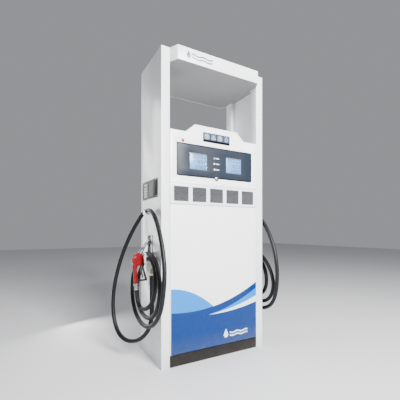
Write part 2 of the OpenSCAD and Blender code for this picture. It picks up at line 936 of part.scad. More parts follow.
module hook_side() {
  hook(lower_hook, 56, 72);
  hook(upper_hook, 62, 30);
}

module hose_hooks() {
  color("gainsboro") for (name = ["left", "right"]) side(name) hook_side();
}

// ---------- hoses ----------

function unit(v) = v / norm(v);

function tangent(i) = unit(hose_route[min(i + 1, len(hose_route) - 1)] - hose_route[max(i - 1, 0)]);

function ring(i, r) =
  let (t = tangent(i), n = unit(cross(t, [1, 0, 0])), b = cross(t, n))
  [for (k = [0:hose_sides - 1])
    hose_route[i] + r * (cos(360 * k / hose_sides) * n + sin(360 * k / hose_sides) * b)];

module hose(name) {
  n = len(hose_route);
  s = hose_sides;
  points = [for (i = [0:n - 1]) each ring(i, hose_d / 2)];
  walls = [for (i = [0:n - 2], k = [0:s - 1])
    [i * s + k, i * s + (k + 1) % s, (i + 1) * s + (k + 1) % s, (i + 1) * s + k]];
  ends = [[for (k = [s - 1:-1:0]) k], [for (k = [0:s - 1]) (n - 1) * s + k]];
  color("black") side(name) polyhedron(points, concat(walls, ends), convexity = 10);
}

// ---------- fasteners ----------

module wall_screw(y, z, base) {
  translate([base, y, z]) rotate([0, 90, 0]) cylinder(r = screw_r, h = 2);
}

module screws_side() {
  for (y = [-1, 1], z = [-1, 1]) {
    wall_screw(keypad_y + y * (keypad_l / 2 - 8), keypad_z + z * (keypad_h / 2 - 8), bezel_proud);
    wall_screw(nozzle_y + y * (holster_w / 2 - 12), flange_z + flange_h / 2 + z * (flange_h / 2 - 10), sheet);
  }
  for (at = [lower_hook, upper_hook], y = [-1, 1]) wall_screw(at[0] + y * 13, at[1] + 26, sheet);
}

module panel_screws() {
  color("silver") for (name = ["left", "right"]) side(name) screws_side();
}

// ---------- the nodes ----------

base_frame();
left_column();
right_column();
canopy();
canopy_soffit();
front_fascia();
rear_fascia();
head_cover();
divider_trays();
vent_frames();
vent_meshes();
pictogram_plates();
indicator_lamps();
hinge_pins();
kick_plates();
front_display_door();
rear_display_door();
display_boards();
front_lock();
rear_lock();
front_door();
rear_door();
pump_unit();
pump_pulley();
motor();
motor_pulley();
drive_belt();
inlet_pipe();
delivery_pipes();
flow_meters();
solenoid_valves();
controller_box();
keypad_bezels();
key("left", 1);  // left_key_1
key("left", 2);  // left_key_2
key("left", 3);  // left_key_3
key("left", 4);  // left_key_4
key("left", 5);  // left_key_5
key("right", 1);  // right_key_1
key("right", 2);  // right_key_2
key("right", 3);  // right_key_3
key("right", 4);  // right_key_4
key("right", 5);  // right_key_5
holsters();
boot_lever("left");  // left_boot_lever
boot_lever("right");  // right_boot_lever
nozzle("left");  // left_nozzle
nozzle("right");  // right_nozzle
spout("left");  // left_spout
spout("right");  // right_spout
trigger("left");  // left_trigger
trigger("right");  // right_trigger
swivel("left");  // left_swivel
swivel("right");  // right_swivel
outlet_fittings();
hose("left");  // left_hose
hose("right");  // right_hose
hose_hooks();
panel_screws();
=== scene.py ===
import json
import math

import bpy
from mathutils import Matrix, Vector


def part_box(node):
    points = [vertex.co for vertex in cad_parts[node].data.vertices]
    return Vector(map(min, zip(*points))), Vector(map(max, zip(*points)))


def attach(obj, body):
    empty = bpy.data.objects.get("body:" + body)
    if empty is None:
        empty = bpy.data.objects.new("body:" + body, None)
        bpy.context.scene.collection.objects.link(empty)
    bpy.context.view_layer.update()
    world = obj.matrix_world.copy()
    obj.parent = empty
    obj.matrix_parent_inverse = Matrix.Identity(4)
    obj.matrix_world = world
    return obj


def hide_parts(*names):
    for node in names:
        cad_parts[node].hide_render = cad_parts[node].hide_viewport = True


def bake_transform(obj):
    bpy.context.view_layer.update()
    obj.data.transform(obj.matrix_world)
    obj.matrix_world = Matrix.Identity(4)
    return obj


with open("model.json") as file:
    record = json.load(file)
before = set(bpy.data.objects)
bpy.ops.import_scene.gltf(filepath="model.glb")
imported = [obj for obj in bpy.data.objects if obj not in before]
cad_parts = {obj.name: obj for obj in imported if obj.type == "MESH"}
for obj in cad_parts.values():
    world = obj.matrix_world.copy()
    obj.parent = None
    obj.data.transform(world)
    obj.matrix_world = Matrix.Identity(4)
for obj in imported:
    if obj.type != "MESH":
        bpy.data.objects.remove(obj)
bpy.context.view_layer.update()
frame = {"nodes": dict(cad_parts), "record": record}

# ---------------------------------------------------------------- places, in metres
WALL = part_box("right_column")[1].x
POST_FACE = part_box("right_column")[1].y
DOOR_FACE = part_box("front_door")[0].y
DISPLAY_LOW, DISPLAY_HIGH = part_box("front_display_door")
STRIP_LOW, STRIP_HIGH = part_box("pictogram_plates")
VENT_LOW, VENT_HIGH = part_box("vent_meshes")
BOARD_LOW, BOARD_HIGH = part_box("display_boards")
NOZZLE_Y = (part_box("left_nozzle")[0].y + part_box("left_nozzle")[1].y) / 2
SIDES = {"left": -1, "right": 1}

HOSE_DIAMETER = 0.030
# Route of a hose from its outlet fitting to its nozzle: distance from the wall, depth, height
HOSE_ROUTE = [
    (0.032, -0.115, 0.632), (0.032, -0.115, 0.560), (0.032, -0.115, 0.470), (0.032, -0.115, 0.380),
    (0.037, -0.110, 0.305), (0.054, -0.092, 0.240), (0.086, -0.050, 0.182), (0.125, 0.010, 0.148),
    (0.165, 0.078, 0.144), (0.194, 0.150, 0.174), (0.210, 0.212, 0.242), (0.216, 0.244, 0.340),
    (0.213, 0.248, 0.450), (0.202, 0.230, 0.560), (0.184, 0.200, 0.670), (0.158, 0.168, 0.780),
    (0.126, 0.134, 0.880), (0.090, 0.090, 0.976), (0.056, 0.030, 1.058), (0.034, -0.033, 1.089),
    (0.030, -0.110, 1.075), (0.030, -0.190, 1.015), (0.030, -0.262, 0.920), (0.030, -0.318, 0.800),
    (0.032, -0.345, 0.680), (0.038, -0.345, 0.560), (0.046, -0.320, 0.440), (0.058, -0.262, 0.350),
    (0.068, -0.180, 0.298), (0.077, -0.090, 0.280), (0.084, 0.005, 0.295), (0.087, 0.095, 0.340),
    (0.085, 0.165, 0.415), (0.078, 0.205, 0.510), (0.066, 0.212, 0.600), (0.048, 0.188, 0.680),
    (0.034, 0.130, 0.738), (0.028, 0.040, 0.770), (0.027, -0.045, 0.775), (0.028, -0.130, 0.757),
    (0.031, -0.210, 0.705), (0.037, -0.272, 0.620), (0.044, -0.295, 0.525), (0.051, -0.272, 0.435),
    (0.059, -0.212, 0.372), (0.066, -0.130, 0.343), (0.071, -0.045, 0.346), (0.074, 0.032, 0.380),
    (0.073, 0.085, 0.450), (0.065, 0.108, 0.540), (0.050, 0.102, 0.630), (0.034, 0.068, 0.697),
    (0.028, 0.015, 0.732), (0.027, -0.045, 0.742), (0.028, -0.115, 0.727), (0.033, -0.180, 0.670),
    (0.041, -0.212, 0.590), (0.050, -0.208, 0.505), (0.061, -0.170, 0.440), (0.074, -0.110, 0.402),
    (0.084, -0.055, 0.392), (0.090, -0.012, 0.405), (0.093, 0.014, 0.435), (0.0955, 0.022, 0.470),
    (0.0991, 0.022, 0.5134)]


# ---------------------------------------------------------------- camera
def add_camera():
    """Looks level at the front left corner, with the view shifted up to take in the canopy."""
    camera = bpy.data.cameras.new("camera")
    camera.sensor_width = 36.0
    camera.lens = 26.47
    camera.shift_x = 0.0015
    camera.shift_y = 0.077
    holder = bpy.data.objects.new("camera", camera)
    holder.location = (-1.1876, -2.0715, 0.9427)
    holder.rotation_euler = (math.radians(90), 0, -0.51)
    bpy.context.collection.objects.link(holder)
    bpy.context.scene.camera = holder


# ---------------------------------------------------------------- colours and material nodes
def srgb(red, green, blue):
    """A colour given in 0 to 255 as it looks, turned into the linear values that a shader takes."""
    def linear(value):
        value /= 255
        return value / 12.92 if value <= 0.04045 else ((value + 0.055) / 1.055) ** 2.4
    return (linear(red), linear(green), linear(blue), 1.0)


class Num:
    """A number on a link. Sums on it add Math nodes to its material."""

    def __init__(self, finish, socket):
        self.finish = finish
        self.socket = socket

    def math(self, operation, *others):
        return self.finish.math(operation, self, *others)

    def __add__(self, other):
        return self.math("ADD", other)

    __radd__ = __add__

    def __sub__(self, other):
        return self.math("SUBTRACT", other)

    def __rsub__(self, other):
        return self.finish.math("SUBTRACT", other, self)

    def __mul__(self, other):
        return self.math("MULTIPLY", other)

    __rmul__ = __mul__

    def __truediv__(self, other):
        return self.math("DIVIDE", other)

    def size(self):
        return self.math("ABSOLUTE")

    def least(self, other):
        return self.math("MINIMUM", other)

    def most(self, other):
        return self.math("MAXIMUM", other)

    def held(self):
        """Kept between 0 and 1."""
        return self.most(0.0).least(1.0)

    def edge(self, width):
        """1 where the value is positive, with a soft step of that width at zero."""
        return (self / width + 0.5).held()


class Finish:
    """A material and the helpers that build its nodes."""

    def __init__(self, name, colour, roughness, metallic=0.0, **fixed):
        self.material = bpy.data.materials.new(name)
        self.material.use_nodes = True
        self.tree = self.material.node_tree
        self.shader = self.tree.nodes["Principled BSDF"]
        self.set("Base Color", colour)
        self.set("Roughness", roughness)
        self.set("Metallic", metallic)
        for socket, value in fixed.items():
            self.set(socket.replace("_", " ").title().replace("Ior", "IOR"), value)
        self.place = self.node("ShaderNodeTexCoord").outputs["Object"]
        axes = self.node("ShaderNodeSeparateXYZ", Vector=self.place)
        self.x, self.y, self.z = (Num(self, axes.outputs[axis]) for axis in "XYZ")

    def set(self, socket, value):
        self.join(self.shader.inputs[socket], value)

    def join(self, socket, value):
        """Puts a value, or a link from a Num or a socket, into a socket."""
        if isinstance(value, Num):
            self.tree.links.new(value.socket, socket)
        elif isinstance(value, bpy.types.NodeSocket):
            self.tree.links.new(value, socket)
        else:
            socket.default_value = value

    def node(self, kind, settings=None, stops=None, slots=None, **sockets):
        """Adds a node: its settings first, then a ramp's stops, then its sockets by name or number."""
        node = self.tree.nodes.new(kind)
        for name, value in (settings or {}).items():
            setattr(node, name, value)
        if stops:
            ramp = node.color_ramp
            while len(ramp.elements) < len(stops):
                ramp.elements.new(1.0)
            for element, (at, colour) in zip(ramp.elements, stops):
                element.position = at
                element.color = colour
        for name, value in sockets.items():
            self.join(node.inputs[name.replace("_", " ")], value)
        for number, value in (slots or {}).items():
            self.join(node.inputs[number], value)
        return node

    def math(self, operation, *values):
        node = self.node("ShaderNodeMath", {"operation": operation}, slots=dict(enumerate(values)))
        return Num(self, node.outputs[0])

    def noise(self, scale, detail=3.0, vector=None):
        node = self.node("ShaderNodeTexNoise", Vector=vector or self.place, Scale=scale, Detail=detail)
        return Num(self, node.outputs["Fac"])

    def stretched(self, x, y, z):
        """The object's coordinates, scaled by axis."""
        return self.node("ShaderNodeMapping", Vector=self.place, Scale=(x, y, z)).outputs[0]

    def blend(self, factor, first, second):
        """A colour between two others."""
        node = self.node("ShaderNodeMix", {"data_type": "RGBA"}, slots={0: factor, 6: first, 7: second})
        return node.outputs[2]

    def bump(self, height, distance, strength=1.0):
        node = self.node("ShaderNodeBump", Strength=strength, Distance=distance, Height=height)
        self.set("Normal", node.outputs[0])


def shade(colour, factor):
    """A colour made lighter or darker."""
    return tuple(min(1.0, channel * factor) for channel in colour[:3]) + (1.0,)


def paint(name, colour, roughness=0.32, dusty=True, shine=0.5):
    """Powder-coated sheet metal: fine orange peel, faint cloudiness, and road dust near the ground."""
    finish = Finish(name, colour, roughness, specular_ior_level=shine)
    cloud = finish.noise(2.2, 4.0)
    tone = finish.blend(cloud, shade(colour, 0.965), shade(colour, 1.02))
    if dusty:
        grime = finish.noise(26.0, 6.0)
        near_floor = ((0.22 - finish.z) / 0.22).held()
        mask = (near_floor * near_floor * (grime + 0.1) * 0.5).held()
        tone = finish.blend(mask, tone, shade(srgb(150, 140, 126), 0.15 + 0.85 * max(colour[:3])))
    finish.set("Base Color", tone)
    finish.set("Roughness", finish.noise(9.0, 5.0) * 0.12 + (roughness - 0.06))
    finish.bump(finish.noise(520.0, 2.0), 0.00025, 0.35)
    return finish


def plastic(name, colour, roughness, grain=900.0, depth=0.0001, shine=0.5):
    """Moulded plastic with a fine grain and slight colour variation."""
    finish = Finish(name, colour, roughness, specular_ior_level=shine)
    cloud = finish.noise(14.0, 3.0)
    finish.set("Base Color", finish.blend(cloud, shade(colour, 0.9), shade(colour, 1.1)))
    finish.set("Roughness", finish.noise(40.0, 4.0) * 0.16 + (roughness - 0.08))
    finish.bump(finish.noise(grain, 2.0), depth, 0.5)
    return finish


def metal(name, colour, roughness, brushed=(1.0, 1.0, 40.0)):
    """Bare metal with brush marks along one direction and a little tarnish."""
    finish = Finish(name, colour, roughness, metallic=1.0)
    marks = finish.noise(60.0, 4.0, finish.stretched(*brushed))
    tarnish = finish.noise(11.0, 5.0)
    finish.set("Base Color", finish.blend(tarnish, shade(colour, 0.78), shade(colour, 1.08)))
    finish.set("Roughness", marks * 0.22 + tarnish * 0.12 + (roughness - 0.17))
    finish.bump(marks, 0.0001, 0.4)
    return finish


def casting(name, colour, roughness=0.5):
    """Painted cast metal: a coarse, pebbly skin with worn tops."""
    finish = Finish(name, colour, roughness, metallic=0.1)
    pebbles = finish.noise(150.0, 5.0)
    wear = ((pebbles - 0.62) * 6.0).held()
    finish.set("Base Color", finish.blend(wear * 0.5, colour, srgb(150, 150, 150)))
    finish.set("Roughness", finish.noise(20.0, 4.0) * 0.25 + (roughness - 0.12))
    finish.bump(pebbles, 0.0006, 0.6)
    return finish


def wave_print(name, turn):
    """The lower door: white, with a light hill, a deep blue swell and two thin blades on its outer face."""
    white, light, deep, pale = srgb(238, 238, 238), srgb(0, 116, 196), srgb(0, 44, 104), srgb(222, 230, 240)
    finish = Finish(name, white, 0.36, specular_ior_level=0.25)
    x = finish.x * turn
    z = finish.z
    soft = 0.0012
    swell_x = x + 0.226
    swell = swell_x * swell_x * 0.458 + 0.364
    hill_x = x + 0.385
    hill = 0.539 - hill_x * hill_x * 1.226
    tip = x + 0.065
    past_tip = tip.edge(soft)
    blade_top = tip * 0.151 + tip * tip * 0.475 + 0.324
    blade_mid = tip * 0.069 + tip * tip * 0.339 + 0.324
    blade_low = tip * tip * 0.304 - tip * 0.025 + 0.324
    cloud = finish.noise(2.2, 4.0)
    tone = finish.blend(cloud, shade(white, 0.965), shade(white, 1.02))
    slope = finish.blend((hill - z + 0.006).edge(0.02), shade(light, 1.1), light)
    tone = finish.blend((hill - z).edge(soft), tone, slope)
    tone = finish.blend((swell - z).edge(soft), tone, deep)
    tone = finish.blend((blade_top - z).edge(soft) * (z - blade_mid).edge(soft) * past_tip, tone, light)
    tone = finish.blend((blade_mid - z).edge(soft) * (z - blade_low).edge(soft) * past_tip, tone, pale)
    marks = drop_mark(finish, x, z, 0.085, 0.150, 0.020).most(ripple_mark(x, z, 0.205, 0.151))
    tone = finish.blend(marks, tone, pale)
    outside = (DOOR_FACE + 0.0008 - finish.y * turn).edge(0.0004)
    tone = finish.blend(outside, white, tone)
    grime = ((0.2 - z) / 0.2).held() * (finish.noise(26.0, 6.0) + 0.1) * 0.3
    finish.set("Base Color", finish.blend(grime.held(), tone, srgb(120, 120, 118)))
    finish.set("Roughness", finish.noise(9.0, 5.0) * 0.12 + 0.22)
    finish.bump(finish.noise(520.0, 2.0), 0.00025, 0.3)
    return finish


def drop_mark(finish, x, z, at, height, radius):
    """A plain fuel drop: a round foot under a pointed top."""
    across = x - at
    up = z - height
    foot = (radius - finish.math("SQRT", across * across + up * up)).edge(0.001)
    cone = (radius * 2.3 - up - across.size() * 2.0).edge(0.002) * (up - radius * 0.35).edge(0.001)
    return foot.most(cone)


def ripple_mark(x, z, at, height):
    """Two plain wavy bars beside the drop."""
    reach = (0.085 - (x - at).size()).edge(0.001)
    wave = (x * 75.0).math("SINE") * 0.004
    upper = (0.005 - (z - wave - (height + 0.011)).size()).edge(0.001)
    lower = (0.005 - (z - wave - (height - 0.011)).size()).edge(0.001)
    return reach * upper.most(lower)


def canopy_paint(name):
    """The canopy's powder coat with a plain drop and ripples printed at the left of each fascia."""
    colour = srgb(232, 233, 235)
    finish = Finish(name, colour, 0.32, specular_ior_level=0.5)
    facing = (finish.y.size() - (POST_FACE + 0.05)).edge(0.001)
    x = finish.x * (0 - finish.y.math("SIGN"))
    mark = drop_mark(finish, x, finish.z, -0.265, 2.146, 0.016).most(ripple_mark(x, finish.z, -0.155, 2.150))
    cloud = finish.noise(2.2, 4.0)
    tone = finish.blend(cloud, shade(colour, 0.965), shade(colour, 1.02))
    finish.set("Base Color", finish.blend(mark * facing, tone, srgb(34, 66, 96)))
    finish.set("Roughness", finish.noise(9.0, 5.0) * 0.12 + 0.26)
    finish.bump(finish.noise(520.0, 2.0), 0.00025, 0.35)
    return finish


def display_plastic(name):
    """The display door's grey face with a darker band round its rim."""
    finish = Finish(name, srgb(60, 70, 82), 0.4, specular_ior_level=0.2)
    half_w = DISPLAY_HIGH.x
    top = DISPLAY_HIGH.z
    low = 1.331
    middle = (top + low) / 2
    across = finish.x.size() - (half_w - 0.02)
    up = (finish.z - middle).size() - ((top - low) / 2 - 0.02)
    corner = finish.math("SQRT", across.most(0.0) * across.most(0.0) + up.most(0.0) * up.most(0.0))
    rim = (corner + across.most(up).least(0.0) - 0.011).edge(0.0015)
    grain = finish.noise(60.0, 5.0)
    face = finish.blend(grain, srgb(28, 35, 45), srgb(35, 42, 53))
    finish.set("Base Color", finish.blend(rim, face, srgb(18, 22, 29)))
    finish.set("Roughness", finish.noise(30.0, 4.0) * 0.14 + 0.34)
    finish.bump(finish.noise(1300.0, 2.0), 0.0001, 0.5)
    return finish


def rubber_hose(name):
    """Hose cover: fine cloth-wrap marks round it and faint scuffs, along the hose's own length."""
    finish = Finish(name, srgb(14, 15, 17), 0.46, specular_ior_level=0.3)
    along = finish.node("ShaderNodeUVMap", {"uv_map": "run"})
    run = finish.node("ShaderNodeSeparateXYZ", Vector=along.outputs[0])
    length, turn = Num(finish, run.outputs["X"]), Num(finish, run.outputs["Y"])
    wrap = ((length * 1500.0 + turn * 6.2832).math("SINE") * 0.5 + 0.5)
    scuffs = finish.noise(70.0, 6.0)
    wear = ((scuffs - 0.58) * 5.0).held() * 0.35
    finish.set("Base Color", finish.blend(wear, srgb(13, 14, 16), srgb(38, 39, 42)))
    finish.set("Roughness", scuffs * 0.25 + 0.34)
    finish.bump(wrap * 0.5 + scuffs * 0.5, 0.0004, 0.5)
    return finish


def glow(name, low, high, strength):
    """A backlit readout: paler towards its top."""
    finish = Finish(name, high, 0.25)
    fade = (finish.z - BOARD_LOW.z) / (BOARD_HIGH.z - BOARD_LOW.z)
    tone = finish.blend((fade * 0.8 + finish.noise(8.0) * 0.2).held(), low, high)
    finish.set("Base Color", tone)
    finish.set("Emission Color", tone)
    finish.set("Emission Strength", strength)
    return finish


def clear_pane(name):
    finish = Finish(name, (0.6, 0.7, 0.8, 1), 0.05, alpha=0.07, ior=1.49)
    finish.set("Roughness", finish.noise(30.0, 3.0) * 0.06 + 0.02)
    return finish


MATERIALS = {
    "white": paint("white_paint", srgb(226, 228, 231)),
    "head": paint("head_white", srgb(243, 243, 245), dusty=False),
    "vent": paint("vent_grey", srgb(224, 226, 231), dusty=False),
    # Painted shade: the canopy's underside is painted grey, standing in for the shade that falls under the
    # canopy.
    "soffit": paint("soffit_grey", srgb(132, 132, 132), 0.5, dusty=False),
    "canopy": canopy_paint("canopy_paint"),
    "front_door": wave_print("front_wave_print", 1.0),
    "rear_door": wave_print("rear_wave_print", -1.0),
    "plinth": paint("plinth_black", srgb(10, 8, 7), 0.3, shine=0.25),
    "zinc": metal("zinc_plate", srgb(176, 178, 180), 0.42, (1.0, 1.0, 1.0)),
    "steel": metal("brushed_steel", srgb(168, 170, 172), 0.36, (1.0, 1.0, 30.0)),
    "turned": metal("turned_metal", srgb(186, 187, 188), 0.3, (30.0, 30.0, 1.0)),
    "wire": plastic("mesh_wire", srgb(98, 99, 102), 0.5),
    "brass": metal("dull_brass", srgb(196, 186, 140), 0.42, (1.0, 1.0, 1.0)),
    "display": display_plastic("display_grey"),
    "readout": glow("readout_blue", srgb(40, 112, 190), srgb(84, 156, 224), 0.30),
    "digit": plastic("digit_ink", srgb(12, 22, 40), 0.5),
    "pane": clear_pane("clear_pane"),
    "black": plastic("black_gloss", srgb(6, 7, 9), 0.42, shine=0.08),
    "tile": plastic("tile_blue", srgb(62, 78, 98), 0.3),
    "ink": plastic("white_ink", srgb(232, 236, 240), 0.4),
    "dark": plastic("black_matt", srgb(20, 20, 22), 0.5, 700.0, 0.0002),
    "key": plastic("key_grey", srgb(168, 168, 158), 0.45),
    "lamp": plastic("lamp_red", srgb(126, 14, 26), 0.12),
    "red": plastic("nozzle_red", srgb(122, 0, 8), 0.36, 420.0, 0.0002, 0.3),
    "hose": rubber_hose("hose_rubber"),
    "belt": plastic("belt_rubber", srgb(26, 26, 26), 0.7),
    "pump": casting("pump_enamel", srgb(70, 96, 120)),
    "motor": casting("motor_enamel", srgb(40, 74, 130)),
    "iron": casting("pulley_iron", srgb(74, 76, 80)),
    "meter": casting("meter_aluminium", srgb(176, 178, 180)),
    "card": plastic("board_green", srgb(28, 74, 50), 0.4),
    "lock": metal("lock_chrome", srgb(226, 226, 228), 0.22, (1.0, 1.0, 1.0)),
}


def wear(piece, material):
    """Gives a piece its only material."""
    piece.data.materials.clear()
    piece.data.materials.append(MATERIALS[material].material)
    return piece


# ---------------------------------------------------------------- modelling helpers
def only(piece):
    """Selects one piece and nothing else."""
    bpy.ops.object.select_all(action="DESELECT")
    piece.select_set(True)
    bpy.context.view_layer.objects.active = piece


def settle(piece, smooth=30):
    """Puts a piece's place into its mesh and shades it smooth up to that angle."""
    only(piece)
    bpy.ops.object.transform_apply(location=True, rotation=True, scale=True)
    bpy.ops.object.shade_smooth_by_angle(angle=math.radians(smooth))
    return piece


def started(name):
    """The primitive that was just added, named, with its turn and size in its mesh."""
    piece = bpy.context.object
    piece.name = name
    piece.data.name = name
    bpy.ops.object.transform_apply(location=True, rotation=True, scale=True)
    return piece


def applied(piece, kind, **settings):
    """Adds a modifier and applies it."""
    only(piece)
    modifier = piece.modifiers.new(kind.lower(), kind)
    for name, value in settings.items():
        setattr(modifier, name, value)
    bpy.ops.object.modifier_apply(modifier=modifier.name)
    return piece


def rounded(piece, width, segments=2, angle=30):
    return applied(piece, "BEVEL", width=width, segments=segments, limit_method="ANGLE",
                   angle_limit=math.radians(angle), use_clamp_overlap=False)


def block(name, low, high, bevel=0.001, segments=2):
    """A box between two corners with rounded edges."""
    low, high = Vector(low), Vector(high)
    bpy.ops.object.select_all(action="DESELECT")
    bpy.ops.mesh.primitive_cube_add(size=1, location=(low + high) / 2)
    bpy.context.object.scale = high - low
    return rounded(started(name), bevel, segments)


def rod(name, start, end, radius, sides=32, bevel=0.001, segments=2):
    """A round bar between two points with rounded ends."""
    start, end = Vector(start), Vector(end)
    bpy.ops.object.select_all(action="DESELECT")
    bpy.ops.mesh.primitive_cylinder_add(
        vertices=sides, radius=radius, depth=(end - start).length, location=(start + end) / 2,
        rotation=(end - start).to_track_quat("Z", "Y").to_euler())
    return rounded(started(name), bevel, segments, 40)


def joined(name, pieces):
    """Joins pieces into the first one."""
    bpy.ops.object.select_all(action="DESELECT")
    for piece in pieces:
        piece.select_set(True)
    bpy.context.view_layer.objects.active = pieces[0]
    bpy.ops.object.join()
    pieces[0].name = name
    pieces[0].data.name = name
    return pieces[0]


def copied(piece, name):
    """A copy with a mesh of its own."""
    twin = piece.copy()
    twin.data = piece.data.copy()
    twin.name = name
    twin.data.name = name
    bpy.context.collection.objects.link(twin)
    return twin


def turned(piece, name):
    """A copy on the other face: turned half way round the dispenser's middle."""
    twin = copied(piece, name)
    twin.rotation_euler = (0, 0, math.pi)
    return settle(twin)


def mirrored(piece, name):
    """A copy on the other side wall, with its faces turned back outwards."""
    twin = copied(piece, name)
    twin.scale = (-1, 1, 1)
    only(twin)
    bpy.ops.object.transform_apply(location=True, rotation=True, scale=True)
    bpy.ops.object.mode_set(mode="EDIT")
    bpy.ops.mesh.select_all(action="SELECT")
    bpy.ops.mesh.normals_make_consistent(inside=False)
    bpy.ops.object.mode_set(mode="OBJECT")
    return settle(twin)


def keep(piece, material, body):
    """Gives a finished piece its material and the body it moves with."""
    wear(piece, material)
    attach(piece, body)
    return piece


def bare_copy(node, name, cuts=()):
    """A CAD node's mesh as a piece of its own, with its loose triangles merged and its flat faces joined.

    Faces with windows in them are kept apart along the cuts, each an axis and a place on it."""
    piece = bpy.data.objects.new(name, frame["nodes"][node].data.copy())
    piece.data.name = name
    bpy.context.collection.objects.link(piece)
    only(piece)
    bpy.ops.mesh.customdata_custom_splitnormals_clear()
    bpy.ops.object.mode_set(mode="EDIT")
    bpy.ops.mesh.select_all(action="SELECT")
    bpy.ops.mesh.remove_doubles(threshold=0.00001)
    for axis, place in cuts:
        bpy.ops.mesh.select_all(action="SELECT")
        bpy.ops.mesh.bisect(plane_co=axis * place, plane_no=axis)
        bpy.ops.mesh.mark_seam()
    bpy.ops.mesh.select_all(action="SELECT")
    bpy.ops.mesh.dissolve_limited(angle_limit=math.radians(0.6), delimit={"SEAM"})
    bpy.ops.object.mode_set(mode="OBJECT")
    return piece


def refined(node, material, bevel=0.001, segments=2, smooth=30, cuts=()):
    """A copy of a CAD node with rounded edges, which stands for that node."""
    piece = bare_copy(node, node + "_finish", cuts)
    if bevel:
        rounded(piece, bevel, segments, 35)
    settle(piece, smooth)
    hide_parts(node)
    return keep(piece, material, body_of(node))


def cast(name, pieces, grain, smoothing):
    """Melts overlapping pieces into one soft-edged casting."""
    piece = joined(name, pieces)
    applied(piece, "REMESH", mode="VOXEL", voxel_size=grain)
    applied(piece, "SMOOTH", factor=0.5, iterations=smoothing)
    return settle(piece, 50)


def outlined(name, outline, y, depth):
    """A plate with a given X-Z outline, from y back through a depth."""
    bpy.ops.object.select_all(action="DESELECT")
    bpy.ops.mesh.primitive_circle_add(vertices=len(outline), fill_type="NGON")
    piece = started(name)
    for vertex, (x, z) in zip(piece.data.vertices, outline):
        vertex.co = (x, y, z)
    bpy.ops.object.mode_set(mode="EDIT")
    bpy.ops.mesh.select_all(action="SELECT")
    bpy.ops.mesh.extrude_region_move(TRANSFORM_OT_translate={"value": (0, depth, 0)})
    bpy.ops.mesh.select_all(action="SELECT")
    bpy.ops.mesh.normals_make_consistent(inside=False)
    bpy.ops.object.mode_set(mode="OBJECT")
    return piece


def ring(name, centre, axis, radius, thickness, sides=32):
    """A torus round an axis."""
    bpy.ops.object.select_all(action="DESELECT")
    bpy.ops.mesh.primitive_torus_add(
        major_segments=sides, minor_segments=10, major_radius=radius, minor_radius=thickness,
        location=centre, rotation=Vector(axis).to_track_quat("Z", "Y").to_euler())
    return started(name)


def ball(name, centre, size):
    """An egg with those half widths."""
    bpy.ops.object.select_all(action="DESELECT")
    bpy.ops.mesh.primitive_uv_sphere_add(segments=32, ring_count=16, radius=1, location=centre)
    bpy.context.object.scale = size
    return started(name)


def body_of(node):
    """The body that a CAD node belongs to."""
    return next(body for body, nodes in frame["record"]["behaviour"]["bodies"].items() if node in nodes)


def side_point(side, out, y, z):
    """A point by its distance out from a side wall."""
    return Vector((SIDES[side] * (WALL + out), y, z))


# ---------------------------------------------------------------- hoses
def smooth_path(points, step):
    """Points at equal steps along the curve that runs through the given ones."""
    points = [Vector(p) for p in points]
    padded = [2 * points[0] - points[1], *points, 2 * points[-1] - points[-2]]
    fine = []
    for i in range(len(points) - 1):
        a, b, c, d = padded[i:i + 4]
        for k in range(24):
            t = k / 24
            fine.append(0.5 * ((2 * b) + (c - a) * t + (2 * a - 5 * b + 4 * c - d) * t * t
                               + (3 * b - a - 3 * c + d) * t ** 3))
    fine.append(points[-1])
    total = sum((q - p).length for p, q in zip(fine, fine[1:]))
    count = round(total / step)
    path, walked, target = [fine[0]], 0.0, total / count
    for p, q in zip(fine, fine[1:]):
        span = (q - p).length
        while span > 0 and walked + span >= target - 1e-9 and len(path) < count:
            path.append(p.lerp(q, (target - walked) / span))
            target += total / count
        walked += span
    path.append(fine[-1])
    return path, total


def tube(name, path, radius, sides=20):
    """A tube round a path, closed at both ends, with its run in metres and its turn as a UV map."""
    vertices, faces, runs = [], [], []
    normal = Vector((1, 0, 0))
    walked = 0.0
    for i, centre in enumerate(path):
        ahead = path[min(i + 1, len(path) - 1)] - path[max(i - 1, 0)]
        ahead.normalize()
        normal = (normal - ahead * normal.dot(ahead)).normalized()
        across = ahead.cross(normal)
        for k in range(sides):
            turn = 2 * math.pi * k / sides
            vertices.append(centre + (normal * math.cos(turn) + across * math.sin(turn)) * radius)
        runs.append(walked)
        if i + 1 < len(path):
            walked += (path[i + 1] - centre).length
    for i in range(len(path) - 1):
        for k in range(sides):
            n = (k + 1) % sides
            faces.append((i * sides + k, i * sides + n, (i + 1) * sides + n, (i + 1) * sides + k))
    last = (len(path) - 1) * sides
    faces += [tuple(range(sides - 1, -1, -1)), tuple(range(last, last + sides))]
    mesh = bpy.data.meshes.new(name)
    mesh.from_pydata([tuple(v) for v in vertices], [], faces)
    layer = mesh.uv_layers.new(name="run")
    for face in mesh.polygons:
        for corner, loop in enumerate(face.loop_indices):
            vertex = mesh.loops[loop].vertex_index
            turn = (vertex % sides) / sides
            if corner in (1, 2) and vertex % sides == 0:
                turn = 1.0
            layer.data[loop].uv = (runs[vertex // sides], turn)
    piece = bpy.data.objects.new(name, mesh)
    bpy.context.collection.objects.link(piece)
    return settle(piece, 40)


def add_hose(side):
    """One hose: from its outlet fitting, over the upper hook in a big loop and twice round to its nozzle."""
    route = [side_point(side, *point) for point in HOSE_ROUTE]
    path, length = smooth_path(route, 0.012)
    hose = wear(tube(side + "_hose_line", path, HOSE_DIAMETER / 2), "hose")
    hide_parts(side + "_hose")
    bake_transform(hose)
    outlet_sleeve = wear(ribbed_sleeve(side + "_outlet_sleeve", path[:10]), "dark")
    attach(outlet_sleeve, "cabinet")
    nozzle_sleeve = wear(ribbed_sleeve(side + "_nozzle_sleeve", path[:-8:-1]), "dark")
    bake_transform(nozzle_sleeve)


